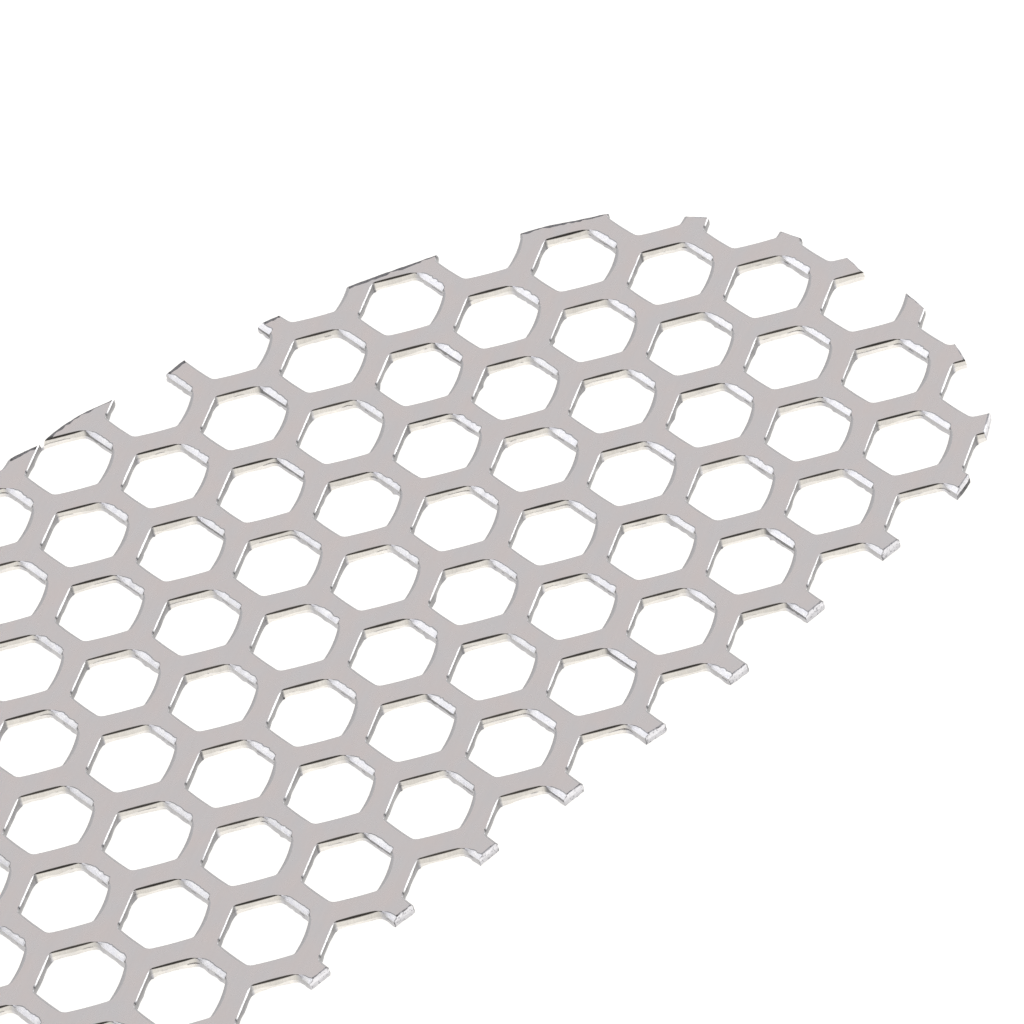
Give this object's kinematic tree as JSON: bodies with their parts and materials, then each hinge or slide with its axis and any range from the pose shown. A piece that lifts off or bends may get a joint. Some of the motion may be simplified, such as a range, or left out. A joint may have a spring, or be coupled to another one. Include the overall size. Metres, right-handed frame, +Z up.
{
  "type": "honeycomb grid",
  "caption": "Flat half-moon plate of thin bright metal sheet, punched all over with staggered hexagonal holes and trimmed straight through the pattern, with stub ends.",
  "frame": {"origin": "middle of the plate's underside: the centre of its box in X and Y, on the face that rests on the table", "axes": "+X along the straight edge, +Y from the straight edge towards the crown, +Z up through the thickness, out of the burr side"},
  "size_m": [0.0796, 0.0376, 0.0006],
  "materials": {
    "sheet_metal": "bright rolled sheet, sheared and broken edges"
  },
  "bodies": {
    "root": {"perforated_plate": "sheet_metal"}
  },
  "joints": []
}
